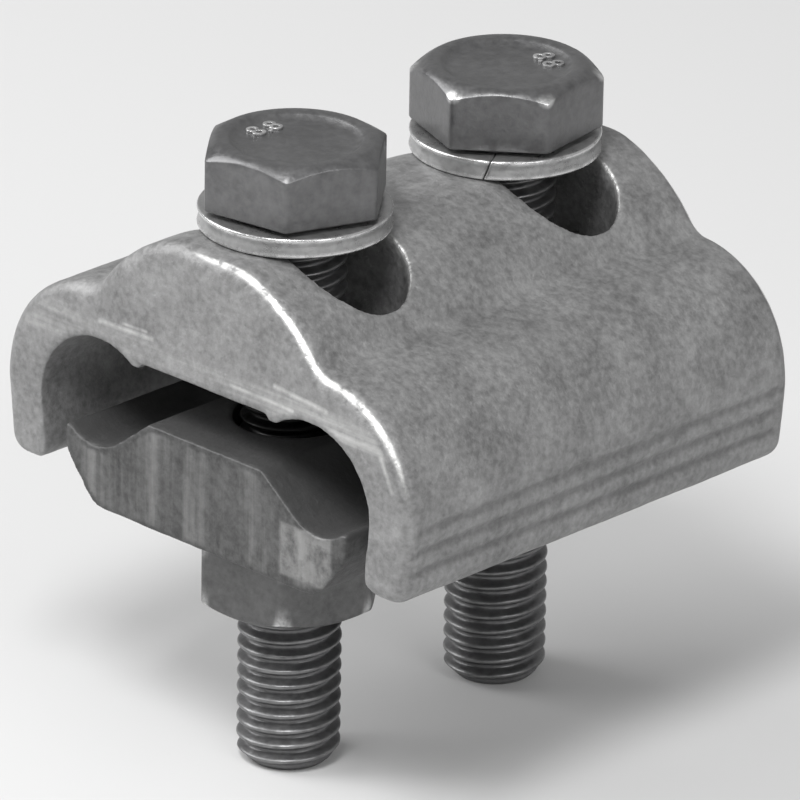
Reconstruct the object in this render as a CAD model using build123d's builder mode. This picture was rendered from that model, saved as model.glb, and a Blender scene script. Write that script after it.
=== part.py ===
from build123d import *
import math
import os

# Two-bolt parallel groove clamp: a saddle-shaped body, a loose keeper below it and two M8 bolts.
# Millimetres. +Z runs up along the bolts, +Y along the conductor grooves and +X across them.
# The origin is at the level of the bolt ends, midway between the bolts.

# M8 bolts, nuts and spring washers
thread_diameter = 8.0
across_flats = 13.0
bolt_length = 45.5
head_height = 5.3
bearing_face_diameter = 11.6
bearing_face_height = 0.4
hexagon_chamfer_angle = 30.0
bolt_end_chamfer = 1.0
nut_height = 6.5
nut_bore_clearance = 0.05
washer_diameter = 14.8
washer_bore_clearance = 0.2
washer_thickness = 1.6
washer_slit_width = 1.2
washer_slit_slant = 20.0
bolt_spacing = 22.8

# clamp body
body_length = 42.2
body_half_width = 21.6
hump_radius = 14.1
crest_flat_depth = 0.45
crest_edge_radius = 6.0
shoulder_radius = 9.5
shoulder_drop = 6.05
valley_radius = 2.0
bridge_thickness = 10.8
leg_drop = 22.25
leg_thickness = 4.2
leg_lean = 0.6
leg_foot_radius = 1.8
groove_radius = 6.25
groove_rise = 0.65
lip_width = 0.75
lip_depth = 0.5
end_radius = 1.3
slot_width = 9.0
slot_length = 20.0
side_line_radius = 0.5
side_line_depth = 0.25
side_line_pitch = 1.7
side_line_count = 3

# keeper
keeper_gap = 4.7
keeper_side_clearance = 1.8
keeper_length_difference = 0.4
keeper_height = 8.7
keeper_groove_radius = 4.2
keeper_groove_shift = 0.75
keeper_groove_depth = 3.5
keeper_tip_rise = 1.0
keeper_plateau_half_width = 6.0
keeper_base_half_width = 11.9
keeper_flank_height = 4.0
keeper_edge_radius = 3.0
keeper_crest_radius = 0.8
keeper_tip_radius = 0.25
keeper_hole_clearance = 0.5

# headings about +Z, in degrees
bolt_headings = {"front": 9.0, "rear": 39.0}
nut_headings = {"front": 10.0, "rear": 24.0}
slit_headings = {"front": 150.0, "rear": -60.0}

# levels and offsets that follow
stations = {"front": -bolt_spacing / 2, "rear": bolt_spacing / 2}
seat_level = bolt_length - washer_thickness
hump_level = seat_level + crest_flat_depth - hump_radius
shoulder_level = seat_level - shoulder_drop - shoulder_radius
shoulder_offset = body_half_width - shoulder_radius
bridge_level = seat_level - bridge_thickness
foot_level = seat_level - leg_drop
groove_level = bridge_level + groove_rise - groove_radius
leg_inner = body_half_width - leg_thickness
groove_offset = leg_inner - groove_radius
keeper_top = bridge_level - keeper_gap
keeper_bottom = keeper_top - keeper_height


def groove_edge(level):
    """Distance across from the middle to the inner side of a body groove at a level."""
    return groove_offset - math.sqrt(groove_radius**2 - (level - groove_level) ** 2)


def leg_top(foot, centre, level, radius):
    """Point where a straight leg side, starting at the foot, runs smoothly into a round."""
    across = foot - centre
    below = level - foot_level
    angle = math.acos(radius / math.hypot(across, below)) - math.atan2(below, across)
    return centre + radius * math.cos(angle), level + radius * math.sin(angle)


def make_clamp_body():
    """Arched saddle with a part-round groove on each side and a slot for each bolt."""
    with BuildPart() as body:
        # outside of the section: hump cut flat under the washers, shoulders over the grooves, leaning legs
        with BuildSketch(Plane.XZ) as outside:
            with Locations((0, hump_level)):
                Circle(hump_radius)
            with Locations((-shoulder_offset, shoulder_level), (shoulder_offset, shoulder_level)):
                Circle(shoulder_radius)
            with BuildLine():
                foot = body_half_width - leg_lean
                across, level = leg_top(foot, shoulder_offset, shoulder_level, shoulder_radius)
                Polyline((-foot, foot_level), (foot, foot_level), (across, level), (-across, level),
                         close=True)
            make_face()
            with Locations((0, foot_level)):
                Rectangle(2 * body_half_width, 2 * hump_radius, align=(Align.CENTER, Align.MAX),
                          mode=Mode.SUBTRACT)
            fillet(outside.vertices().filter_by(lambda v: v.Y > shoulder_level + 1), valley_radius)
            fillet(outside.vertices().group_by(Axis.Y)[0], leg_foot_radius)
            with Locations((0, seat_level)):
                Rectangle(2 * hump_radius, hump_radius, align=(Align.CENTER, Align.MIN), mode=Mode.SUBTRACT)
            fillet(outside.vertices().group_by(Axis.Y)[-1], crest_edge_radius)
        extrude(amount=body_length / 2, both=True)
        fillet(body.faces().filter_by(Axis.Y).edges(), end_radius)

        # inside of the section: two grooves joined under the bridge, open between the legs
        with BuildSketch(Plane.XZ) as inside:
            with Locations((-groove_offset, groove_level), (groove_offset, groove_level)):
                Circle(groove_radius)
            with BuildLine():
                lip = groove_edge(bridge_level - lip_depth)
                Polyline((-lip, foot_level), (-lip, bridge_level - lip_depth),
                         (lip_width - lip, bridge_level - lip_depth), (lip_width - lip, bridge_level),
                         (lip - lip_width, bridge_level), (lip - lip_width, bridge_level - lip_depth),
                         (lip, bridge_level - lip_depth), (lip, foot_level), close=True)
            make_face()
            with BuildLine():
                foot = leg_inner - leg_lean
                across, level = leg_top(foot, groove_offset, groove_level, groove_radius)
                Polyline((-foot, foot_level), (foot, foot_level), (across, level), (-across, level),
                         close=True)
            make_face()
            with Locations((0, foot_level)):
                Rectangle(2 * body_half_width, leg_thickness, align=(Align.CENTER, Align.MAX))
            at_foot = inside.vertices().filter_by(lambda v: abs(v.Y - foot_level) < 0.01)
            fillet(at_foot.filter_by(lambda v: abs(v.X) < leg_inner), leg_foot_radius)
        extrude(amount=body_length, both=True, mode=Mode.SUBTRACT)

        # slots for the bolts, long across the body
        with BuildSketch(Plane.XY.offset(groove_level)):
            with Locations(*[(0, station) for station in stations.values()]):
                SlotOverall(slot_length, slot_width)
        extrude(amount=groove_radius + bridge_thickness, mode=Mode.SUBTRACT)

        # shallow drawn lines along the lower outside of both legs
        with BuildSketch(Plane.XZ):
            for step in range(side_line_count):
                height = leg_foot_radius + (step + 0.5) * side_line_pitch
                lean = leg_lean * (1 - height / (shoulder_level - foot_level))
                across = body_half_width - lean + side_line_radius - side_line_depth
                with Locations((-across, foot_level + height), (across, foot_level + height)):
                    Circle(side_line_radius)
        extrude(amount=body_length / 2 - end_radius, both=True, mode=Mode.SUBTRACT)
    return body


def make_keeper():
    """Lower jaw that slides between the legs, with a shallow groove on each side."""
    groove_bottom = keeper_top - keeper_groove_depth
    centre_level = groove_bottom + keeper_groove_radius
    tip_level = groove_bottom + keeper_tip_rise
    half_width = leg_inner - leg_lean - keeper_side_clearance
    centre_offset = groove_offset + keeper_groove_shift
    flank_foot = centre_offset - math.sqrt(keeper_groove_radius**2 - (centre_level - tip_level) ** 2)
    with BuildPart() as jaw:
        with BuildSketch(Plane.XZ) as section:
            with BuildLine():
                right = Polyline((0, keeper_bottom), (keeper_base_half_width, keeper_bottom),
                                 (half_width, keeper_bottom + keeper_flank_height),
                                 (half_width, tip_level), (flank_foot, tip_level),
                                 (keeper_plateau_half_width, keeper_top), (0, keeper_top))
                mirror(right, about=Plane.YZ)
            make_face()
            with Locations((-centre_offset, centre_level), (centre_offset, centre_level)):
                Circle(keeper_groove_radius, mode=Mode.SUBTRACT)
            lower = section.vertices().filter_by(lambda v: v.Y < groove_bottom - 0.1)
            fillet(lower.filter_by(lambda v: abs(v.X) > keeper_plateau_half_width), keeper_edge_radius)
            fillet(section.vertices().group_by(Axis.Y)[-1], keeper_crest_radius)
            at_tip = section.vertices().filter_by(lambda v: abs(v.Y - tip_level) < 0.01)
            fillet(at_tip.filter_by(lambda v: abs(v.X) > centre_offset), keeper_tip_radius)
        extrude(amount=(body_length - keeper_length_difference) / 2, both=True)
        with Locations(*[(0, station, keeper_top) for station in stations.values()]):
            Hole(thread_diameter / 2 + keeper_hole_clearance)
    return jaw


def hexagon_envelope(station, bottom, top, both_ends):
    """Half-section of the turned blank that a hexagon is cut from, chamfered above and, if asked, below."""
    corner = across_flats / 2 / math.cos(math.radians(30)) + 0.5
    flat = across_flats / 2 * 0.97
    drop = (corner - flat) * math.tan(math.radians(hexagon_chamfer_angle))
    with BuildSketch(Plane(origin=(0, station, 0), x_dir=(1, 0, 0), z_dir=(0, -1, 0))) as half:
        with Locations((0, bottom)):
            Rectangle(corner, top - bottom, align=(Align.MIN, Align.MIN))
        with BuildLine():
            Polyline((flat, top), (corner, top), (corner, top - drop), close=True)
        make_face(mode=Mode.SUBTRACT)
        if both_ends:
            with BuildLine():
                Polyline((flat, bottom), (corner, bottom), (corner, bottom + drop), close=True)
            make_face(mode=Mode.SUBTRACT)
    return half.sketch


def make_bolt(station, heading):
    """Hexagon bolt with a round bearing face under the head and a chamfered end."""
    hexagon_level = bolt_length + bearing_face_height
    head_top = bolt_length + head_height
    with BuildPart() as bolt:
        with BuildSketch(Plane((0, station, hexagon_level))):
            RegularPolygon(across_flats / 2, 6, major_radius=False, rotation=heading)
        extrude(amount=head_top - hexagon_level)
        blank = hexagon_envelope(station, hexagon_level, head_top, both_ends=False)
        revolve(blank, axis=Axis((0, station, 0), (0, 0, 1)), mode=Mode.INTERSECT)
        with BuildSketch(Plane((0, station, bolt_length))):
            Circle(bearing_face_diameter / 2)
        extrude(amount=bearing_face_height)
        with BuildSketch(Plane((0, station, 0))):
            Circle(thread_diameter / 2)
        extrude(amount=bolt_length)
        chamfer(bolt.faces().sort_by(Axis.Z)[0].edges(), bolt_end_chamfer)
    return bolt


def make_nut(station, heading):
    """Hexagon nut under the keeper with both ends chamfered, bored to run on the bolt."""
    nut_bottom = keeper_bottom - nut_height
    with BuildPart() as nut:
        with BuildSketch(Plane((0, station, nut_bottom))):
            RegularPolygon(across_flats / 2, 6, major_radius=False, rotation=heading)
        extrude(amount=nut_height)
        blank = hexagon_envelope(station, nut_bottom, keeper_bottom, both_ends=True)
        revolve(blank, axis=Axis((0, station, 0), (0, 0, 1)), mode=Mode.INTERSECT)
        with Locations((0, station, keeper_bottom)):
            Hole(thread_diameter / 2 + nut_bore_clearance)
    return nut


def make_spring_washer(station, heading):
    """Square-section ring cut through by one slanted slit."""
    bore_radius = thread_diameter / 2 + washer_bore_clearance
    rim = washer_diameter / 2
    slant = washer_thickness * math.tan(math.radians(washer_slit_slant))
    with BuildPart() as washer:
        with BuildSketch(Plane((0, station, seat_level))):
            Circle(rim)
            Circle(bore_radius, mode=Mode.SUBTRACT)
        extrude(amount=washer_thickness)
        radial = Plane(origin=(0, station, seat_level), x_dir=(0, 1, 0), z_dir=(1, 0, 0))
        with BuildSketch(radial.rotated((0, 0, heading))):
            with BuildLine():
                Polyline((0, 0), (washer_slit_width, 0), (washer_slit_width + slant, washer_thickness),
                         (slant, washer_thickness), close=True)
            make_face()
        extrude(amount=rim * 1.2, mode=Mode.SUBTRACT)
    return washer


def save(made, name):
    """Label a finished sub-part and write it as a STEP file of the same name."""
    made.part.label = name
    export_step(made.part, f"parts/{name}.step")


os.makedirs("parts", exist_ok=True)
save(make_clamp_body(), "clamp_body")
save(make_keeper(), "keeper")
for place, station in stations.items():
    save(make_bolt(station, bolt_headings[place]), f"bolt_{place}")
    save(make_nut(station, nut_headings[place]), f"nut_{place}")
    save(make_spring_washer(station, slit_headings[place]), f"spring_washer_{place}")
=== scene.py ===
import math
import bmesh
import bpy
import numpy as np
from mathutils import Matrix, Vector, noise


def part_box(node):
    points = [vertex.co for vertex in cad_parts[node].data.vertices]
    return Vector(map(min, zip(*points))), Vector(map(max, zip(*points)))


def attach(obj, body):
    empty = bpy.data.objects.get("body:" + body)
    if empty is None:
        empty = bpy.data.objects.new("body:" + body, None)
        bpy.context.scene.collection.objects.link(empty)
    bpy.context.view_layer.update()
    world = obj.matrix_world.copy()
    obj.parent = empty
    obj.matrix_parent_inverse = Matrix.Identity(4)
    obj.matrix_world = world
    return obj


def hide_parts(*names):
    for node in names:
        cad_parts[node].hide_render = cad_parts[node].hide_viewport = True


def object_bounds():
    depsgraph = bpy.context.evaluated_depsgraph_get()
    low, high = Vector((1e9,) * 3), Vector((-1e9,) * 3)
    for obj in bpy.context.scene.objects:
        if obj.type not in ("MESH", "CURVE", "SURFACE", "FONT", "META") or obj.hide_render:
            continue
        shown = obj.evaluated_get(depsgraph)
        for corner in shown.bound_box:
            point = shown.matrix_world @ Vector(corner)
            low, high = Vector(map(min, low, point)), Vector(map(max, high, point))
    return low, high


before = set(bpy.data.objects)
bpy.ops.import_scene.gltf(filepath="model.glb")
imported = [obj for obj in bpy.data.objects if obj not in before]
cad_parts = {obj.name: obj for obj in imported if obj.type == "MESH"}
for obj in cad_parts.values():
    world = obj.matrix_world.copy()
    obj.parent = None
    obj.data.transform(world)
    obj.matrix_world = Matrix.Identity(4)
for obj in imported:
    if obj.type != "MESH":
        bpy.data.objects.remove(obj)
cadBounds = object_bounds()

for leftover in ("Cube", "Light", "Camera"):
    if leftover in bpy.data.objects:
        bpy.data.objects.remove(bpy.data.objects[leftover])

mm = 0.001
ends = ("front", "rear")
mergeDistance = 0.0005 * mm


def boltAxis(end):  # middle of the bolt at its tip
    low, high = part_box("bolt_" + end)
    washerLow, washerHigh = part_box("spring_washer_" + end)
    middle = (washerLow + washerHigh) / 2
    return Vector((middle.x, middle.y, low.z))


def addNode(tree, kind, inputs=None, **settings):
    node = tree.nodes.new(kind)
    for name, value in settings.items():
        setattr(node, name, value)
    for socket, value in (inputs or {}).items():
        if isinstance(value, bpy.types.NodeSocket):
            tree.links.new(value, node.inputs[socket])
        else:
            node.inputs[socket].default_value = value
    return node


def calc(tree, operation, *values):
    node = addNode(tree, "ShaderNodeMath", dict(enumerate(values)), operation=operation)
    return node.outputs[0]


def vectorCalc(tree, operation, first, second, result="Vector"):
    node = addNode(tree, "ShaderNodeVectorMath", {0: first, 1: second}, operation=operation)
    return node.outputs[result]


def mixColor(tree, amount, first, second):
    node = addNode(tree, "ShaderNodeMix", {0: amount, 6: first, 7: second}, data_type="RGBA")
    return node.outputs[2]


def spread(tree, value, fromLow, fromHigh, toLow=0.0, toHigh=1.0, shape="LINEAR"):
    node = addNode(tree, "ShaderNodeMapRange", {0: value, 1: fromLow, 2: fromHigh, 3: toLow, 4: toHigh},
                   interpolation_type=shape)
    return node.outputs[0]


def noiseValue(tree, vector, scale, detail, roughness):
    node = addNode(tree, "ShaderNodeTexNoise", {
        "Vector": vector, "Scale": scale, "Detail": detail, "Roughness": roughness})
    return node.outputs[0]


def newGroup(name, kind, inputs, outputs):
    tree = bpy.data.node_groups.new(name, kind)
    for label, socketKind, value in inputs:
        socket = tree.interface.new_socket(label, in_out="INPUT", socket_type=socketKind)
        if value is not None:
            socket.default_value = value
    for label, socketKind in outputs:
        tree.interface.new_socket(label, in_out="OUTPUT", socket_type=socketKind)
    return tree, tree.nodes.new("NodeGroupInput").outputs, tree.nodes.new("NodeGroupOutput").inputs


def makeEdgeWearAndShade():  # Sharpness is 0.5 on flat faces, more on raised edges and less in hollows; the edge output gives edge wear and the cavity output gives painted shade in hollows
    tree, given, out = newGroup("edgeWearAndShade", "ShaderNodeTree", [
        ("Vector", "NodeSocketVector", None),
        ("Sharpness", "NodeSocketFloat", 0.5),
        ("Edge Start", "NodeSocketFloat", 0.51),
        ("Edge Full", "NodeSocketFloat", 0.58),
        ("Breakup Scale", "NodeSocketFloat", 900.0),
    ], [("Edge", "NodeSocketFloat"), ("Cavity Shade", "NodeSocketFloat")])
    start, full = given["Edge Start"], given["Edge Full"]
    patches = noiseValue(tree, given["Vector"], given["Breakup Scale"], 4.0, 0.6)
    edge = spread(tree, given["Sharpness"], start, full, shape="SMOOTHSTEP")
    tree.links.new(calc(tree, "MULTIPLY", edge, spread(tree, patches, 0.3, 0.55)), out["Edge"])
    mirrored = calc(tree, "SUBTRACT", 1.0, given["Sharpness"])
    tree.links.new(spread(tree, mirrored, start, full, shape="SMOOTHSTEP"), out["Cavity Shade"])
    return tree


def makeMetalGrain():
    tree, given, out = newGroup("metalGrain", "ShaderNodeTree", [
        ("Vector", "NodeSocketVector", None),
        ("Grain Scale", "NodeSocketFloat", 1500.0),
        ("Mottle Scale", "NodeSocketFloat", 220.0),
        ("Pits", "NodeSocketFloat", 0.3),
    ], [("Height", "NodeSocketFloat"), ("Mottle", "NodeSocketFloat"), ("Fine", "NodeSocketFloat")])
    vector, scale = given["Vector"], given["Grain Scale"]
    grain = noiseValue(tree, vector, scale, 6.0, 0.62)
    mottle = noiseValue(tree, vector, given["Mottle Scale"], 5.0, 0.65)
    cells = addNode(tree, "ShaderNodeTexVoronoi", {"Vector": vector, "Scale": scale}).outputs[0]
    pit = calc(tree, "MULTIPLY", spread(tree, cells, 0.28, 0.05), given["Pits"])
    tree.links.new(calc(tree, "SUBTRACT", grain, pit), out["Height"])
    tree.links.new(spread(tree, mottle, 0.3, 0.7), out["Mottle"])
    tree.links.new(spread(tree, grain, 0.35, 0.65), out["Fine"])
    return tree


def makeDrawnLines():  # noise drawn out along the axis where Stretch is small
    tree, given, out = newGroup("drawnLines", "ShaderNodeTree", [
        ("Vector", "NodeSocketVector", None),
        ("Scale", "NodeSocketFloat", 700.0),
        ("Stretch", "NodeSocketVector", (1.0, 0.04, 1.0)),
    ], [("Line", "NodeSocketFloat")])
    drawn = vectorCalc(tree, "MULTIPLY", given["Vector"], given["Stretch"])
    lines = noiseValue(tree, drawn, given["Scale"], 3.0, 0.55)
    tree.links.new(spread(tree, lines, 0.32, 0.68), out["Line"])
    return tree


def makeScore():  # a thin scratch from one point to another
    tree, given, out = newGroup("scoreMark", "ShaderNodeTree", [
        ("Vector", "NodeSocketVector", None),
        ("From", "NodeSocketVector", (0.0, 0.0, 0.0)),
        ("To", "NodeSocketVector", (0.0, 0.0, 0.01)),
        ("Width", "NodeSocketFloat", 0.0003),
    ], [("Score", "NodeSocketFloat")])
    run = vectorCalc(tree, "SUBTRACT", given["To"], given["From"])
    offset = vectorCalc(tree, "SUBTRACT", given["Vector"], given["From"])
    along = vectorCalc(tree, "DOT_PRODUCT", offset, run, "Value")
    whole = vectorCalc(tree, "DOT_PRODUCT", run, run, "Value")
    share = spread(tree, calc(tree, "DIVIDE", along, whole), 0.0, 1.0)
    nearest = vectorCalc(tree, "MULTIPLY", run, share)
    gap = vectorCalc(tree, "DISTANCE", offset, nearest, "Value")
    tree.links.new(spread(tree, gap, given["Width"], 0.0), out["Score"])
    return tree


finishGroups = {
    "wear": makeEdgeWearAndShade(), "grain": makeMetalGrain(), "lines": makeDrawnLines(), "score": makeScore(),
}

# each score has its two ends and its width in millimetres
alloyFinish = {
    "name": "clampAlloy", "slot": "clamp_alloy",
    "dark": (0.15, 0.15, 0.15, 1), "light": (0.37, 0.37, 0.37, 1),
    # the darkest colour in each finish is painted shade for hollows and sheltered faces
    "wornAndHighlight": (0.82, 0.82, 0.81, 1), "shadeColor": (0.07, 0.07, 0.07, 1),
    "metallic": 0.5, "wornMetallic": 0.85, "roughLow": 0.4, "roughHigh": 0.64,
    "grainScale": 1700.0, "mottleScale": 230.0, "pits": 0.3, "bump": 0.08, "lineBump": 0.22,
    "edgeStart": 0.62, "edgeFull": 0.9, "stretch": (1.0, 0.04, 1.0),
    "endStretch": (0.04, 1.0, 1.0), "endLines": 0.5,
    "scores": [
        ((-11.0, -21.1, 35.4), (-5.4, -21.1, 35.6), 0.3),
        ((-8.5, -21.1, 35.9), (-6.0, -21.1, 36.0), 0.2),
        ((7.6, -21.1, 35.7), (13.0, -21.1, 35.3), 0.3),
        ((3.0, -21.1, 34.4), (9.5, -21.1, 34.3), 0.22),
        ((19.7, -20.7, 33.9), (20.9, -20.7, 30.9), 0.4),
        ((18.7, -21.1, 33.3), (19.8, -21.1, 30.9), 0.3),
    ],
}
keeperFinish = dict(
    alloyFinish, name="keeperAlloy", dark=(0.03, 0.03, 0.03, 1), light=(0.145, 0.145, 0.145, 1),
    shadeColor=(0.105, 0.105, 0.105, 1), bump=0.07, pits=0.05, endStretch=(1.0, 1.0, 0.06), endLines=0.16,
    scores=[])
boltFinish = {
    "name": "boltSteel", "slot": "bolt_steel",
    "dark": (0.11, 0.11, 0.112, 1), "light": (0.2, 0.2, 0.202, 1),
    "wornAndHighlight": (0.75, 0.75, 0.75, 1), "shadeColor": (0.015, 0.015, 0.015, 1),
    "metallic": 0.75, "wornMetallic": 0.9, "roughLow": 0.28, "roughHigh": 0.5,
    "grainScale": 1400.0, "mottleScale": 260.0, "pits": 0.2, "bump": 0.04, "lineBump": 0.1,
    "edgeStart": 0.6, "edgeFull": 0.95, "stretch": (1.0, 1.0, 0.08), "endLines": 0.0, "scores": [],
}
nutFinish = dict(
    boltFinish, name="nutSteel", slot="nut_steel",
    dark=(0.085, 0.085, 0.085, 1), light=(0.17, 0.17, 0.17, 1))
springFinish = dict(
    boltFinish, name="springSteel", slot="spring_steel",
    dark=(0.24, 0.24, 0.24, 1), light=(0.44, 0.44, 0.44, 1), roughLow=0.22, roughHigh=0.4)


def useGroup(tree, label, inputs):
    return addNode(tree, "ShaderNodeGroup", inputs, node_tree=finishGroups[label])


def meshMask(tree, name):
    return addNode(tree, "ShaderNodeAttribute", attribute_name=name).outputs["Fac"]


def makeMetal(finish):
    material = bpy.data.materials.new(finish["name"])
    material.use_nodes = True
    tree = material.node_tree
    tree.nodes.clear()
    place = addNode(tree, "ShaderNodeTexCoord").outputs["Object"]
    grain = useGroup(tree, "grain", {
        "Vector": place, "Grain Scale": finish["grainScale"], "Mottle Scale": finish["mottleScale"],
        "Pits": finish["pits"]})
    wear = useGroup(tree, "wear", {
        "Vector": place, "Sharpness": meshMask(tree, "sharpness"), "Edge Start": finish["edgeStart"],
        "Edge Full": finish["edgeFull"]})
    lines = useGroup(tree, "lines", {"Vector": place, "Stretch": finish["stretch"]})
    mottle, fine = grain.outputs["Mottle"], grain.outputs["Fine"]
    wornAndHighlight = wear.outputs["Edge"]
    for start, stop, width in finish["scores"]:
        score = useGroup(tree, "score", {
            "Vector": place, "From": [value * mm for value in start], "To": [value * mm for value in stop],
            "Width": width * mm})
        wornAndHighlight = calc(tree, "MAXIMUM", wornAndHighlight, calc(tree, "MULTIPLY", score.outputs[0], mottle))

    patch = calc(tree, "ADD", calc(tree, "MULTIPLY", mottle, 0.5), calc(tree, "MULTIPLY", fine, 0.5))
    color = mixColor(tree, patch, finish["dark"], finish["light"])
    if finish["endLines"]:  # lines on the end faces, where the piece's own mask asks for them
        across = useGroup(tree, "lines", {"Vector": place, "Stretch": finish["endStretch"]})
        streaks = calc(tree, "POWER", across.outputs["Line"], 2.0)
        shown = calc(tree, "MULTIPLY", streaks, meshMask(tree, "endMask"))
        color = mixColor(tree, calc(tree, "MULTIPLY", shown, finish["endLines"]), color, finish["wornAndHighlight"])
    # painted shade: hollows and faces in the painted-shade mask are mixed towards the dark shade colour
    hollow = calc(tree, "MAXIMUM", wear.outputs["Cavity Shade"], meshMask(tree, "paintedShade"))
    color = mixColor(tree, hollow, color, finish["shadeColor"])
    # edge wear and painted highlight are mixed towards the brightest colour
    color = mixColor(tree, wornAndHighlight, color, finish["wornAndHighlight"])
    dull = calc(tree, "SUBTRACT", patch, wornAndHighlight)
    rough = spread(tree, dull, 0.0, 1.0, finish["roughLow"], finish["roughHigh"])
    drawn = calc(tree, "MULTIPLY", lines.outputs["Line"], finish["lineBump"])
    height = calc(tree, "ADD", grain.outputs["Height"], drawn)
    relief = addNode(tree, "ShaderNodeBump", {"Height": height, "Strength": 1.0,
                                              "Distance": finish["bump"] * mm})
    metallic = spread(tree, wornAndHighlight, 0.0, 1.0, finish["metallic"], finish["wornMetallic"])
    shader = addNode(tree, "ShaderNodeBsdfPrincipled", {
        "Base Color": color, "Roughness": rough, "Metallic": metallic, "Normal": relief.outputs[0]})
    addNode(tree, "ShaderNodeOutputMaterial", {"Surface": shader.outputs[0]})
    return material


metals = {
    finish["name"]: makeMetal(finish)
    for finish in (alloyFinish, keeperFinish, boltFinish, nutFinish, springFinish)
}
print("finishes:", ", ".join(metals))


def showPiece(name, mesh, body, node, finish):
    piece = bpy.data.objects.new(name, mesh)
    bpy.context.scene.collection.objects.link(piece)
    mesh.materials.clear()
    mesh.materials.append(metals[finish["name"]])
    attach(piece, body)
    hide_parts(node)


def newHolder(name, data):
    holder = bpy.data.objects.new(name, data)
    bpy.context.scene.collection.objects.link(holder)
    return holder


def applied(holder):  # plain mesh of an object with its modifiers
    bpy.context.view_layer.update()
    evaluated = holder.evaluated_get(bpy.context.evaluated_depsgraph_get())
    result = bpy.data.meshes.new_from_object(evaluated)
    bpy.data.objects.remove(holder)
    return result


def closeMesh(work, name):
    bmesh.ops.remove_doubles(work, verts=work.verts, dist=mergeDistance)
    mesh = bpy.data.meshes.new(name)
    work.to_mesh(mesh)
    work.free()
    for polygon in mesh.polygons:
        polygon.use_smooth = True
    return mesh


def joinMeshes(name, meshes):
    work = bmesh.new()
    for mesh in meshes:
        work.from_mesh(mesh)
    return closeMesh(work, name)


def turnedMesh(name, rows, steps, looped):  # each row gives (radius, height) for an angle
    work = bmesh.new()
    grid = []
    for row in rows:
        ring = []
        for step in range(steps):
            angle = math.tau * step / steps
            radius, height = row(angle)
            ring.append(work.verts.new((radius * math.cos(angle), radius * math.sin(angle), height)))
        grid.append(ring)
    if looped:
        grid.append(grid[0])
    for lower, upper in zip(grid, grid[1:]):
        for step in range(steps):
            after = (step + 1) % steps
            work.faces.new((lower[step], lower[after], upper[after], upper[step]))
    return closeMesh(work, name)


def vertexValues(mesh, field):
    values = np.empty(len(mesh.vertices) * 3, dtype=np.float32)
    mesh.vertices.foreach_get(field, values)
    return values.reshape(-1, 3).astype(np.float64)


def neighbourMean(mesh):  # gives a function that averages each vertex's neighbours
    pairs = np.empty(len(mesh.edges) * 2, dtype=np.int32)
    mesh.edges.foreach_get("vertices", pairs)
    pairs = pairs.reshape(-1, 2)
    count = np.bincount(pairs.ravel(), minlength=len(mesh.vertices))

    def mean(values):
        total = np.zeros_like(values)
        for here, there in ((0, 1), (1, 0)):
            for axis in range(3):
                total[:, axis] += np.bincount(pairs[:, here], values[pairs[:, there], axis], len(values))
        return total / count[:, None]
    return mean


def addMask(mesh, name, values):
    mask = mesh.attributes.new(name, "FLOAT", "POINT")
    mask.data.foreach_set("value", np.clip(values, 0, 1).astype(np.float32))


# lengths in millimetres; tilts are shares of a face's normal that point along the grooves
bodySkin = {
    "seed": 3.0, "voxel": 0.21, "smoothing": 7, "faceShare": 0.62,
    "dents": 0.08, "dentSize": 5.0, "ripple": 0.035, "rippleSize": 0.9,
    "slotHalfLength": 10.0, "slotHalfWidth": 4.5,
    "slotRimWidth": 1.2, "slotRimDepth": 6.0, "slotRimPasses": 30, "slotRimSoftness": 0.6,
    "swellPasses": 70, "swellStep": 0.5, "swellWear": 0.3, "tiltPasses": 6,
    "rimTilt": 0.62, "rimSpread": 0.3, "rimWearAndHighlight": 0.5, "rimLeft": 0.3, "rimRight": 1.0, "rimBlend": 4.0,
    "rimLow": 28.5, "rimFade": 6.0, "rimFoot": 0.3,
    "patchLow": (0, 0, 0), "patchHigh": (0, 0, 0), "patchBorder": 0.8, "patchLift": 0.0,
    "endTilt": 0.9, "endRise": 20.0, "endLow": 4.2, "endHigh": 7.6,
    "drawnLevels": (2.65, 4.35, 6.05), "drawnWidth": 0.45, "drawnShade": 0.36,
    "topShade": 0.0, "topTilt": 0.1, "topRise": 3.0, "shadeTilt": 0.5, "shadeRise": 6.0,
}
keeperSkin = dict(
    bodySkin, seed=11.0, voxel=0.24, smoothing=8, faceShare=1.0,
    dents=0.1, dentSize=3.5, ripple=0.06, rippleSize=0.8,
    slotRimWidth=0.0, slotRimPasses=0, swellPasses=50,
    rimTilt=0.6, rimRight=0.3, rimLow=0.0, rimFade=1.0, rimFoot=1.0,
    patchLow=(7.4, -25.0, 20.0), patchHigh=(14.2, -20.0, 25.6), patchLift=0.2,
    endLow=-20.0, endHigh=20.0, drawnLevels=(), topShade=1.0)


def slotRims(places, skin):  # 1 around the upper rims of the bolt slots
    near = np.zeros(len(places))
    if not skin["slotRimWidth"]:
        return near
    straight = (skin["slotHalfLength"] - skin["slotHalfWidth"]) * mm
    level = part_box("spring_washer_front")[0].z - skin["slotRimDepth"] * mm
    for end in ends:
        along = places[:, 0] - np.clip(places[:, 0], -straight, straight)
        across = places[:, 1] - boltAxis(end).y
        gap = np.abs(np.hypot(along, across) - skin["slotHalfWidth"] * mm)
        rim = np.clip(2 - gap / (skin["slotRimWidth"] * mm), 0, 1)
        near = np.maximum(near, rim * (places[:, 2] > level))
    return near


def softMesh(node, name, skin):  # the CAD solid with its edges rounded over
    source = bmesh.new()
    source.from_mesh(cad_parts[node].data)
    holder = newHolder(name + "Holder", closeMesh(source, name + "Start"))
    remesh = holder.modifiers.new("remesh", "REMESH")
    remesh.mode = "VOXEL"
    remesh.voxel_size = skin["voxel"] * mm
    remesh.use_smooth_shade = True
    soften = holder.modifiers.new("soften", "SMOOTH")
    soften.factor = 0.5
    soften.iterations = skin["smoothing"]
    if skin["faceShare"] < 1:
        thin = holder.modifiers.new("thin", "DECIMATE")
        thin.ratio = skin["faceShare"]
    return applied(holder)


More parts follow.
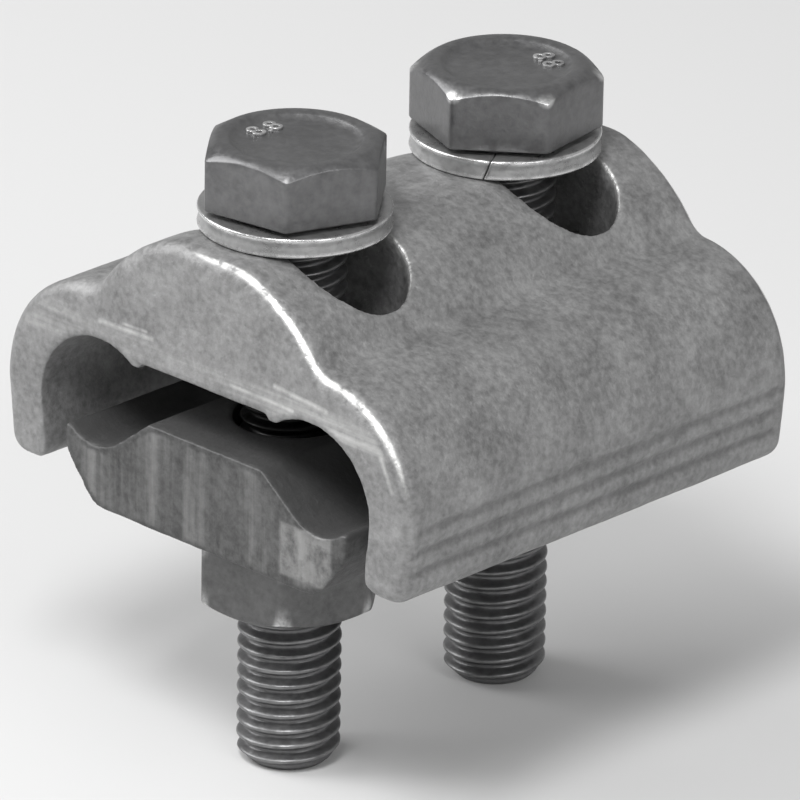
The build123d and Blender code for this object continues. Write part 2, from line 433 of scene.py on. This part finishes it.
def dentMesh(mesh, mean, skin):  # softer slot rims, then shallow dents; gives the new places
    places = vertexValues(mesh, "co")
    near = slotRims(places, skin)[:, None]
    for step in range(skin["slotRimPasses"]):
        places += skin["slotRimSoftness"] * near * (mean(places) - places)
    shift = Vector((skin["seed"], -skin["seed"], skin["seed"] / 2))
    depth = np.empty(len(places))
    for index, place in enumerate(places / mm):
        spot = Vector(place)
        dent = 0.5 + 0.5 * noise.noise(spot / skin["dentSize"] + shift)
        ripple = 0.5 + 0.5 * noise.noise(spot / skin["rippleSize"] - shift)
        depth[index] = skin["dents"] * dent * dent + skin["ripple"] * ripple
    places -= vertexValues(mesh, "normal") * depth[:, None] * mm
    mesh.vertices.foreach_set("co", places.astype(np.float32).ravel())
    mesh.update()
    return places


def markMesh(mesh, mean, places, node, skin):  # masks for wear and painted highlight, for streaks on the ends and for painted shade
    rounded = places.copy()
    for step in range(skin["swellPasses"]):
        rounded += skin["swellStep"] * (mean(rounded) - rounded)
    normals = vertexValues(mesh, "normal")
    swell = np.einsum("ij,ij->i", places - rounded, normals) / mm
    for step in range(skin["tiltPasses"]):
        normals = mean(normals)
    onEnd = np.abs(normals[:, 1])
    heights = places[:, 2] / mm
    aboveKeeper = places[:, 2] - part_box("keeper")[1].z
    outward = normals[:, 0] * places[:, 0] + normals[:, 2] * aboveKeeper

    # end rims: edge wear plus a painted highlight, weighted towards the right half and fading towards the
    # foot
    rim = np.clip(1 - np.abs(onEnd - skin["rimTilt"]) / skin["rimSpread"], 0, 1) * (outward > 0)
    side = np.clip(0.5 + places[:, 0] / (skin["rimBlend"] * mm), 0, 1)
    rim *= skin["rimLeft"] + (skin["rimRight"] - skin["rimLeft"]) * side
    rim *= np.clip((heights - skin["rimLow"]) / skin["rimFade"], skin["rimFoot"], 1)
    # a brighter patch inside the given box, fading in over its border
    low, high = np.array(skin["patchLow"]), np.array(skin["patchHigh"])
    inside = np.minimum(places / mm - low, high - places / mm).min(axis=1)
    brightPatch = skin["patchLift"] * np.clip(inside / skin["patchBorder"], 0, 1)
    swellWear = skin["swellWear"] * swell * (1 - slotRims(places, skin))
    raised = np.maximum(np.maximum(swellWear, skin["rimWearAndHighlight"] * rim), brightPatch)
    addMask(mesh, "sharpness", 0.5 + raised + np.minimum(swell, 0))

    level = aboveKeeper / mm
    fade = np.clip(level - skin["endLow"], 0, 1) * np.clip(skin["endHigh"] - level, 0, 1)
    addMask(mesh, "endMask", np.clip((onEnd - skin["endTilt"]) * skin["endRise"], 0, 1) * fade)

    # painted shade: faces turned upwards (switched on for the keeper's top) are darkened, kept off the end
    # faces
    onTop = skin["topShade"] * np.clip((normals[:, 2] - skin["topTilt"]) * skin["topRise"], 0, 1)
    # painted shade: thin dark lines at the given heights on the outward sides
    drawn = np.zeros(len(places))
    for height in skin["drawnLevels"]:
        gap = np.abs(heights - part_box(node)[0].z / mm - height)
        drawn = np.maximum(drawn, skin["drawnShade"] * np.clip(1 - gap / skin["drawnWidth"], 0, 1))
    drawn *= np.abs(normals[:, 0]) * (outward > 0)
    notEnd = np.clip((skin["shadeTilt"] - onEnd) * skin["shadeRise"], 0, 1)
    addMask(mesh, "paintedShade", notEnd * np.maximum(onTop, drawn))


def showForged(name, node, skin, finish):
    mesh = softMesh(node, name, skin)
    mean = neighbourMean(mesh)
    places = dentMesh(mesh, mean, skin)
    markMesh(mesh, mean, places, node, skin)
    showPiece(name, mesh, node, node, finish)
    print("forged:", name, len(mesh.polygons), "faces")


showForged("clampBody", "clamp_body", bodySkin, alloyFinish)
showForged("clampKeeper", "keeper", keeperSkin, keeperFinish)

# the two levels under the head between which the shank, inside the clamp, gets painted shade
boltShape = {
    "threadDiameter": 8.0, "coreDiameter": 6.6, "pitch": 1.25, "tipChamfer": 1.0,
    "stepsAround": 72, "stepsPerTurn": 14,
    "halfWidth": 6.5, "flatRadius": 6.1, "chamferSlope": math.tan(math.radians(30)), "cornerSharpness": 70,
    "bearingRadius": 5.8, "bearingHeight": 0.4, "bearingEdge": 0.12, "headHeight": 5.3, "headSteps": 180,
    "edge": 0.16, "dish": 0.42, "heading": {"front": 9.0, "rear": 39.0},
    "cornerStart": 6.95, "cornerFull": 7.3, "cornerDepth": 1.2, "nickReach": 0.5,
    "nicks": {"front": 0.2, "rear": 1.0},
    "crestStart": 3.7, "crestRise": 0.25, "crestWear": 0.35,
    "shadedLow": -18.5, "shadedHigh": -9.0,
    "gradeText": "8.8", "gradeSize": 2.4, "gradeRise": 0.14, "gradeBevel": 0.03, "gradeRadius": 3.4,
    "gradeHeading": {"front": 178.0, "rear": 68.0}, "gradeLimit": 4.8, "gradeStart": 0.06, "gradeWear": 0.8,
}


def hexagonRadius(angle, shape):
    power = shape["cornerSharpness"]
    total = 0.0
    for side in range(6):
        total += max(0.0, math.cos(angle - math.radians(30 + 60 * side))) ** power
    return shape["halfWidth"] / total ** (1 / power)


def steelWearAndShade(mesh, shape, edgeLevels, nicks):  # edgeLevels gives each hexagon edge's level and slope
    places = vertexValues(mesh, "co") / mm
    heights = places[:, 2]
    reach = np.hypot(places[:, 0], places[:, 1])
    angles = np.arctan2(places[:, 1], places[:, 0])
    limits = np.array([hexagonRadius(angle, shape) for angle in angles])
    corner = np.clip((limits - shape["cornerStart"]) / (shape["cornerFull"] - shape["cornerStart"]), 0, 1)
    corner *= reach > limits - shape["cornerDepth"]
    wear = np.zeros(len(places))
    for level, drop in edgeLevels:
        edge = level + drop * (limits - shape["flatRadius"]) * shape["chamferSlope"]
        near = np.clip(1 - np.abs(heights - edge) / shape["nickReach"], 0, 1)
        wear = np.maximum(wear, nicks * corner * near)
    dishFloor = shape["headHeight"] - shape["dish"]
    raised = (heights > dishFloor + shape["gradeStart"]) & (reach < shape["gradeLimit"])
    # painted shade on the shank inside the clamp, where crest wear is also left off
    shaded = np.clip(np.minimum(heights - shape["shadedLow"], shape["shadedHigh"] - heights), 0, 1)
    onCrest = np.clip((reach - shape["crestStart"]) / shape["crestRise"], 0, 1)
    crest = shape["crestWear"] * (heights < 0) * onCrest * (1 - shaded)
    addMask(mesh, "paintedShade", shaded)
    wear = np.maximum(np.maximum(wear, crest), shape["gradeWear"] * raised)
    addMask(mesh, "sharpness", 0.5 + 0.5 * wear)


def hexagonRow(shape, inset, height, drop=0.0):  # drop lowers the row with the chamfer at the corners
    def row(angle):
        radius = hexagonRadius(angle, shape)
        lowered = drop * (radius - shape["flatRadius"]) * shape["chamferSlope"]
        return (radius - inset) * mm, (height + lowered) * mm
    return row


def roundRow(radius, height):
    return lambda angle: (radius * mm, height * mm)


def makeHead(shape):
    seat, base, rounding = shape["bearingRadius"], shape["bearingHeight"], shape["bearingEdge"]
    top, flat, dish, edge = shape["headHeight"], shape["flatRadius"], shape["dish"], shape["edge"]
    rows = [
        roundRow(0, 0),
        roundRow(seat - rounding, 0),
        roundRow(seat, rounding),
        roundRow(seat, base),
        hexagonRow(shape, 0.35, base),
        hexagonRow(shape, 0.08, base + 0.03),
        hexagonRow(shape, 0.0, base + edge),
        hexagonRow(shape, 0.0, top / 2),
        hexagonRow(shape, 0.0, top - 0.7, -1),
        hexagonRow(shape, 0.0, top - edge, -1),
        hexagonRow(shape, 0.06, top - 0.03, -1),
        roundRow(flat + 0.02, top - 0.06),
        roundRow(flat - 0.2, top),
        roundRow(flat - 0.9, top),
        roundRow(flat - 1.1, top - 0.3 * dish),
        roundRow(flat - 1.4, top - 0.9 * dish),
        roundRow(flat - 1.8, top - dish),
        roundRow(flat / 3, top - dish),
        roundRow(0, top - dish),
    ]
    return turnedMesh("boltHead", rows, shape["headSteps"], looped=False)


def threadTree():  # a grid wrapped round the axis, with its radius following a helix
    tree, given, out = newGroup("threadedShank", "GeometryNodeTree", [
        ("Thread Diameter", "NodeSocketFloat", 0.008),
        ("Core Diameter", "NodeSocketFloat", 0.0066),
        ("Pitch", "NodeSocketFloat", 0.00125),
        ("Length", "NodeSocketFloat", 0.045),
        ("Tip Chamfer", "NodeSocketFloat", 0.001),
        ("Steps Around", "NodeSocketInt", 72),
        ("Steps Per Turn", "NodeSocketInt", 14),
        ("Finish", "NodeSocketMaterial", None),
    ], [("Geometry", "NodeSocketGeometry")])
    length, pitch = given["Length"], given["Pitch"]
    outer = calc(tree, "MULTIPLY", given["Thread Diameter"], 0.5)
    core = calc(tree, "MULTIPLY", given["Core Diameter"], 0.5)
    tip = calc(tree, "SUBTRACT", outer, given["Tip Chamfer"])
    reach = calc(tree, "ADD", calc(tree, "ADD", tip, length), outer)
    rows = calc(tree, "MULTIPLY", calc(tree, "DIVIDE", reach, pitch), given["Steps Per Turn"])
    columns = calc(tree, "ADD", given["Steps Around"], 1)
    sheet = addNode(tree, "GeometryNodeMeshGrid", {
        "Size X": math.tau, "Size Y": reach, "Vertices X": columns, "Vertices Y": rows})
    position = addNode(tree, "GeometryNodeInputPosition").outputs[0]
    spot = addNode(tree, "ShaderNodeSeparateXYZ", {0: position})
    angle = calc(tree, "ADD", spot.outputs[0], math.pi)
    along = calc(tree, "ADD", spot.outputs[1], calc(tree, "MULTIPLY", reach, 0.5))
    climb = calc(tree, "MAXIMUM", calc(tree, "SUBTRACT", along, tip), 0.0)
    rise = calc(tree, "MINIMUM", climb, length)
    turned = calc(tree, "DIVIDE", angle, math.tau)
    turn = calc(tree, "SUBTRACT", calc(tree, "DIVIDE", rise, pitch), turned)
    phase = calc(tree, "FRACT", calc(tree, "ADD", turn, 1.0))
    flank = calc(tree, "ABSOLUTE", calc(tree, "SUBTRACT", calc(tree, "MULTIPLY", phase, 2.0), 1.0))
    thread = spread(tree, flank, 0.15, 0.92, core, outer, shape="SMOOTHSTEP")
    tapered = calc(tree, "MINIMUM", thread, calc(tree, "ADD", tip, rise))
    closed = calc(tree, "MINIMUM", along, calc(tree, "SUBTRACT", reach, along))
    radius = calc(tree, "MINIMUM", tapered, closed)
    place = addNode(tree, "ShaderNodeCombineXYZ", {
        0: calc(tree, "MULTIPLY", radius, calc(tree, "COSINE", angle)),
        1: calc(tree, "MULTIPLY", radius, calc(tree, "SINE", angle)), 2: rise})
    wrapped = addNode(tree, "GeometryNodeSetPosition", {
        "Geometry": sheet.outputs["Mesh"], "Position": place.outputs[0]})
    merged = addNode(tree, "GeometryNodeMergeByDistance", {
        "Geometry": wrapped.outputs[0], "Distance": mergeDistance})
    smooth = addNode(tree, "GeometryNodeSetShadeSmooth", {"Geometry": merged.outputs[0]})
    real = addNode(tree, "GeometryNodeRealizeInstances", {"Geometry": smooth.outputs[0]})
    painted = addNode(tree, "GeometryNodeSetMaterial", {
        "Geometry": real.outputs[0], "Material": given["Finish"]})
    tree.links.new(painted.outputs[0], out["Geometry"])
    return tree


shankTree = threadTree()


def makeShank(shape, length):
    holder = newHolder("shankHolder", bpy.data.meshes.new("shankHolder"))
    modifier = holder.modifiers.new("thread", "NODES")
    modifier.node_group = shankTree
    wanted = {
        "Thread Diameter": shape["threadDiameter"] * mm, "Core Diameter": shape["coreDiameter"] * mm,
        "Pitch": shape["pitch"] * mm, "Length": length, "Tip Chamfer": shape["tipChamfer"] * mm,
        "Steps Around": shape["stepsAround"], "Steps Per Turn": shape["stepsPerTurn"],
        "Finish": metals["boltSteel"],
    }
    for item in shankTree.interface.items_tree:
        if item.in_out == "INPUT":
            modifier[item.identifier] = wanted[item.name]
    return applied(holder)


def makeGrade(shape):  # strength grade raised on the dished top
    letters = bpy.data.curves.new("grade", "FONT")
    letters.body = shape["gradeText"]
    letters.size = shape["gradeSize"] * mm
    letters.extrude = shape["gradeRise"] * mm
    letters.bevel_depth = shape["gradeBevel"] * mm
    letters.align_x = "CENTER"
    letters.align_y = "CENTER"
    return applied(newHolder("gradeHolder", letters))


for end in ends:
    tip = boltAxis(end)
    headHeight = boltShape["headHeight"] * mm
    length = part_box("bolt_" + end)[1].z - tip.z - headHeight
    turn = Matrix.Rotation(math.radians(boltShape["heading"][end]), 4, "Z")
    seat = Matrix.Translation(tip + Vector((0, 0, length))) @ turn
    head = makeHead(boltShape)
    head.transform(seat)
    shank = makeShank(boltShape, length + headHeight / 2)
    shank.transform(Matrix.Translation(tip))
    grade = makeGrade(boltShape)
    dishFloor = length + headHeight - boltShape["dish"] * mm
    offset = Matrix.Translation(Vector((0, boltShape["gradeRadius"] * mm, 0)))
    outward = Matrix.Rotation(math.radians(boltShape["gradeHeading"][end] - 90), 4, "Z")
    grade.transform(Matrix.Translation(tip + Vector((0, 0, dishFloor))) @ outward @ offset)
    bolt = joinMeshes("bolt" + end.capitalize(), [head, shank, grade])
    bolt.transform(seat.inverted())
    steelWearAndShade(bolt, boltShape, [(boltShape["headHeight"], -1)], boltShape["nicks"][end])
    bolt.transform(seat)
    showPiece("bolt" + end.capitalize(), bolt, "bolt_" + end, "bolt_" + end, boltFinish)
print("bolts: threaded")

nutShape = dict(
    boltShape, boreRadius=4.05, height=6.5, countersink=0.5, edge=0.18,
    shadedLow=0.0, shadedHigh=0.0, heading={"front": 10.0, "rear": 24.0}, nicks={"front": 1.0, "rear": 1.0})


def makeNut(shape):
    bore, sink, edge = shape["boreRadius"], shape["countersink"], shape["edge"]
    top, flat = shape["height"], shape["flatRadius"]
    rows = [
        roundRow(bore, sink),
        roundRow(bore + sink, 0),
        roundRow(flat - 0.2, 0),
        roundRow(flat + 0.02, 0.06),
        hexagonRow(shape, 0.06, 0.03, 1),
        hexagonRow(shape, 0.0, edge, 1),
        hexagonRow(shape, 0.0, top / 2),
        hexagonRow(shape, 0.0, top - edge, -1),
        hexagonRow(shape, 0.06, top - 0.03, -1),
        roundRow(flat + 0.02, top - 0.06),
        roundRow(flat - 0.2, top),
        roundRow(bore + sink, top),
        roundRow(bore, top - sink),
    ]
    return turnedMesh("nut", rows, shape["headSteps"], looped=True)


for end in ends:
    tip = boltAxis(end)
    nut = makeNut(nutShape)
    steelWearAndShade(nut, nutShape, [(nutShape["height"], -1), (0, 1)], nutShape["nicks"][end])
    turn = Matrix.Rotation(math.radians(nutShape["heading"][end]), 4, "Z")
    nut.transform(Matrix.Translation((tip.x, tip.y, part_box("nut_" + end)[0].z)) @ turn)
    showPiece("nut" + end.capitalize(), nut, "keeper", "nut_" + end, nutFinish)
print("nuts: placed")

# the slant is how far the slit leans around the ring from bottom to top
washerShape = {
    "outerRadius": 7.4, "innerRadius": 4.2, "slit": 0.12, "slant": 0.58, "edge": 0.2, "edgeSteps": 5,
    "hollow": 0.12, "hollowShares": (0.35, 0.5, 0.65), "steps": 160, "rimWidth": 0.1, "rimWearAndHighlight": 0.35,
    "heading": {"front": 150.0, "rear": -60.0},
}


def washerSection(shape, thickness):  # rounded corners and a slightly hollow outer side
    outer, inner, edge = shape["outerRadius"], shape["innerRadius"], shape["edge"]
    corners = (
        (outer - edge, thickness - edge, 0),
        (inner + edge, thickness - edge, 90),
        (inner + edge, edge, 180),
        (outer - edge, edge, 270),
    )
    section = []
    for across, level, start in corners:
        for part in range(shape["edgeSteps"]):
            angle = math.radians(start + 90 * part / (shape["edgeSteps"] - 1))
            section.append((across + edge * math.cos(angle), level + edge * math.sin(angle)))
    for share in shape["hollowShares"]:
        section.append((outer - shape["hollow"], thickness * share))
    return section


def makeWasher(shape, thickness):
    section = washerSection(shape, thickness)
    work = bmesh.new()
    rings = []
    for step in range(shape["steps"] + 1):
        ring = []
        for radius, height in section:
            lean = shape["slant"] * height / thickness
            first = (shape["slit"] + lean) / radius
            last = math.tau + lean / radius
            angle = first + (last - first) * step / shape["steps"]
            across, along = radius * math.cos(angle), radius * math.sin(angle)
            ring.append(work.verts.new((across * mm, along * mm, height * mm)))
        rings.append(ring)
    for ring, following in zip(rings, rings[1:]):
        for index in range(len(section)):
            after = (index + 1) % len(section)
            work.faces.new((ring[index], following[index], following[after], ring[after]))
    work.faces.new(rings[0])
    work.faces.new(reversed(rings[-1]))
    bmesh.ops.recalc_face_normals(work, faces=work.faces)
    return closeMesh(work, "washer")


for end in ends:
    low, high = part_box("spring_washer_" + end)
    washer = makeWasher(washerShape, (high.z - low.z) / mm)
    spots = vertexValues(washer, "co") / mm
    # the rounded outer edges get edge wear plus a painted highlight
    onRim = np.hypot(spots[:, 0], spots[:, 1]) > washerShape["outerRadius"] - washerShape["rimWidth"]
    addMask(washer, "sharpness", 0.5 + washerShape["rimWearAndHighlight"] * onRim)
    turn = Matrix.Rotation(math.radians(washerShape["heading"][end]), 4, "Z")
    washer.transform(Matrix.Translation((boltAxis(end).x, boltAxis(end).y, low.z)) @ turn)
    showPiece("springWasher" + end.capitalize(), washer, "clamp_body", "spring_washer_" + end, springFinish)
print("spring washers: placed")

# azimuths turn from the front (-Y) towards +X; the camera's aim is in millimetres from the bolt tops
stageLook = {
    "floorColor": (0.665, 0.665, 0.665, 1), "floorRoughness": 0.9, "floorSize": 6.0,
    "skyColor": (0.95, 0.95, 0.95, 1), "skyStrength": 0.42,
}
lamps = {
    "key": {"azimuth": 25.0, "elevation": 55.0, "distance": 0.6, "size": 0.18, "power": 2.4},
    "side": {"azimuth": -60.0, "elevation": 35.0, "distance": 0.6, "size": 0.4, "power": 2.6},
    "fill": {"azimuth": 78.0, "elevation": 32.0, "distance": 0.7, "size": 0.3, "power": 0.95},
}
cameraView = {
    "azimuth": 43.85, "elevation": 22.945, "roll": 1.029, "distance": 0.764, "lens": 455.5, "sensor": 36,
    "aimRight": -0.203, "aimUp": -22.718,
}


def directionTo(azimuth, elevation):
    a, e = math.radians(azimuth), math.radians(elevation)
    return Vector((math.sin(a) * math.cos(e), -math.cos(a) * math.cos(e), math.sin(e)))


def makeFloor(look):
    half = look["floorSize"] / 2
    corners = [(-half, -half, 0), (half, -half, 0), (half, half, 0), (-half, half, 0)]
    mesh = bpy.data.meshes.new("floor")
    mesh.from_pydata(corners, [], [(0, 1, 2, 3)])
    floor = newHolder("floor", mesh)
    floor.location.z = cadBounds[0].z
    material = bpy.data.materials.new("paleFloor")
    material.use_nodes = True
    shader = material.node_tree.nodes["Principled BSDF"]
    shader.inputs["Base Color"].default_value = look["floorColor"]
    shader.inputs["Roughness"].default_value = look["floorRoughness"]
    mesh.materials.append(material)


def makeLamp(name, lamp):
    light = bpy.data.lights.new(name, "AREA")
    light.size = lamp["size"]
    light.energy = lamp["power"]
    middle = (cadBounds[0] + cadBounds[1]) / 2
    direction = directionTo(lamp["azimuth"], lamp["elevation"])
    holder = newHolder(name, light)
    holder.location = middle + direction * lamp["distance"]
    holder.rotation_euler = direction.to_track_quat("Z", "Y").to_euler()


def makeCamera(look):
    camera = bpy.data.cameras.new("camera")
    camera.lens = look["lens"]
    camera.sensor_width = look["sensor"]
    back = directionTo(look["azimuth"], look["elevation"])
    across = math.radians(look["azimuth"])
    right = Vector((math.cos(across), math.sin(across), 0))
    up = back.cross(right)
    turn = math.radians(look["roll"])
    rolledRight = right * math.cos(turn) + up * math.sin(turn)
    rolledUp = up * math.cos(turn) - right * math.sin(turn)
    top = Vector((0, 0, cadBounds[1].z))
    aim = top + (rolledRight * look["aimRight"] + rolledUp * look["aimUp"]) * mm
    place = Matrix.Translation(aim + back * look["distance"])
    holder = newHolder("camera", camera)
    holder.matrix_world = place @ Matrix((rolledRight, rolledUp, back)).transposed().to_4x4()
    bpy.context.scene.camera = holder


makeFloor(stageLook)
for name, lamp in lamps.items():
    makeLamp(name, lamp)
makeCamera(cameraView)
world = bpy.data.worlds.new("studio")
world.use_nodes = True
sky = world.node_tree.nodes["Background"]
sky.inputs["Color"].default_value = stageLook["skyColor"]
sky.inputs["Strength"].default_value = stageLook["skyStrength"]
bpy.context.scene.world = world
bpy.context.scene.view_settings.view_transform = "Standard"
